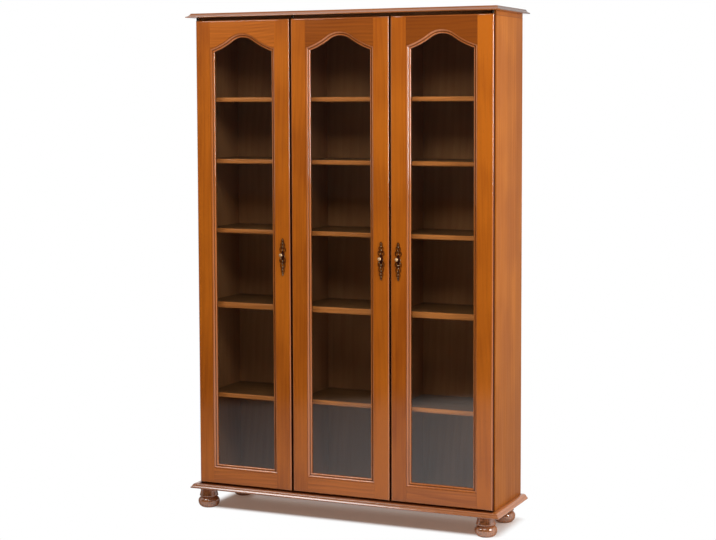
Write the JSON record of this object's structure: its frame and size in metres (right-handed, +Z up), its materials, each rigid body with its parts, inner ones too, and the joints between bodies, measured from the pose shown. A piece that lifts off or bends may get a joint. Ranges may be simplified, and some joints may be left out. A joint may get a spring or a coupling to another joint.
{
  "type": "bookcase with glass doors",
  "caption": "Tall wooden display bookcase with arched glazed doors that open, shelves in separate bays, moulded top and base boards and turned bun feet.",
  "frame": {"origin": "on the floor, under the middle of the whole bookcase", "axes": "+X to the viewer's right along the width, the doors face -Y, +Z up"},
  "size_m": [1.318, 0.357, 2],
  "materials": {
    "door_wood": "satin lacquer over a honey-brown stain",
    "moulded_wood": "satin lacquer over a brown stain",
    "carcass_wood": "satin lacquer over a honey-brown stain",
    "shelf_wood": "satin lacquer over a brown stain",
    "back_wood": "matt, dark stain",
    "foot_wood": "gloss lacquer over a brown stain",
    "pane_glass": "clear float glass",
    "bronze": "antique bronze, cast",
    "pivot_steel": "bright turned steel",
    "catch_plastic": "brown moulded plastic"
  },
  "bodies": {
    "cabinet": {"cornice_board": "moulded_wood", "base_board": "moulded_wood", "left_side_panel": "carcass_wood", "right_side_panel": "carcass_wood", "left_partition": "carcass_wood", "right_partition": "carcass_wood", "top_panel": "carcass_wood", "back_panel": "back_wood", "front_left_foot": "foot_wood", "front_right_foot": "foot_wood", "back_left_foot": "foot_wood", "back_right_foot": "foot_wood", "left_bay_shelf_1": "shelf_wood", "left_bay_fixed_shelf": "shelf_wood", "left_bay_shelf_2": "shelf_wood", "left_bay_shelf_3": "shelf_wood", "left_bay_shelf_4": "shelf_wood", "middle_bay_shelf_1": "shelf_wood", "middle_bay_fixed_shelf": "shelf_wood", "middle_bay_shelf_2": "shelf_wood", "middle_bay_shelf_3": "shelf_wood", "middle_bay_shelf_4": "shelf_wood", "right_bay_shelf_1": "shelf_wood", "right_bay_fixed_shelf": "shelf_wood", "right_bay_shelf_2": "shelf_wood", "right_bay_shelf_3": "shelf_wood", "right_bay_shelf_4": "shelf_wood", "left_door_top_pivot": "pivot_steel", "left_door_bottom_pivot": "pivot_steel", "middle_door_top_pivot": "pivot_steel", "middle_door_bottom_pivot": "pivot_steel", "right_door_top_pivot": "pivot_steel", "right_door_bottom_pivot": "pivot_steel", "left_door_catch": "catch_plastic", "middle_door_catch": "catch_plastic", "right_door_catch": "catch_plastic"},
    "left_door": {"left_door_hinge_stile": "door_wood", "left_door_lock_stile": "door_wood", "left_door_top_rail": "door_wood", "left_door_bottom_rail": "door_wood", "left_door_glass": "pane_glass", "left_door_glazing_bead": "door_wood", "left_door_handle_plate": "bronze", "left_door_knob": "bronze"},
    "middle_door": {"middle_door_hinge_stile": "door_wood", "middle_door_lock_stile": "door_wood", "middle_door_top_rail": "door_wood", "middle_door_bottom_rail": "door_wood", "middle_door_glass": "pane_glass", "middle_door_glazing_bead": "door_wood", "middle_door_handle_plate": "bronze", "middle_door_knob": "bronze"},
    "right_door": {"right_door_hinge_stile": "door_wood", "right_door_lock_stile": "door_wood", "right_door_top_rail": "door_wood", "right_door_bottom_rail": "door_wood", "right_door_glass": "pane_glass", "right_door_glazing_bead": "door_wood", "right_door_handle_plate": "bronze", "right_door_knob": "bronze"}
  },
  "joints": [
    {"name": "left_door_hinge", "type": "hinge", "parent": "cabinet", "child": "left_door", "pos_m": [-0.62, -0.1455, 0.11], "axis": [0, 0, -1], "range_deg": [0, 110]},
    {"name": "middle_door_hinge", "type": "hinge", "parent": "cabinet", "child": "middle_door", "pos_m": [-0.2, -0.1455, 0.11], "axis": [0, 0, -1], "range_deg": [0, 110]},
    {"name": "right_door_hinge", "type": "hinge", "parent": "cabinet", "child": "right_door", "pos_m": [0.62, -0.1455, 0.11], "axis": [0, 0, 1], "range_deg": [0, 110]}
  ]
}
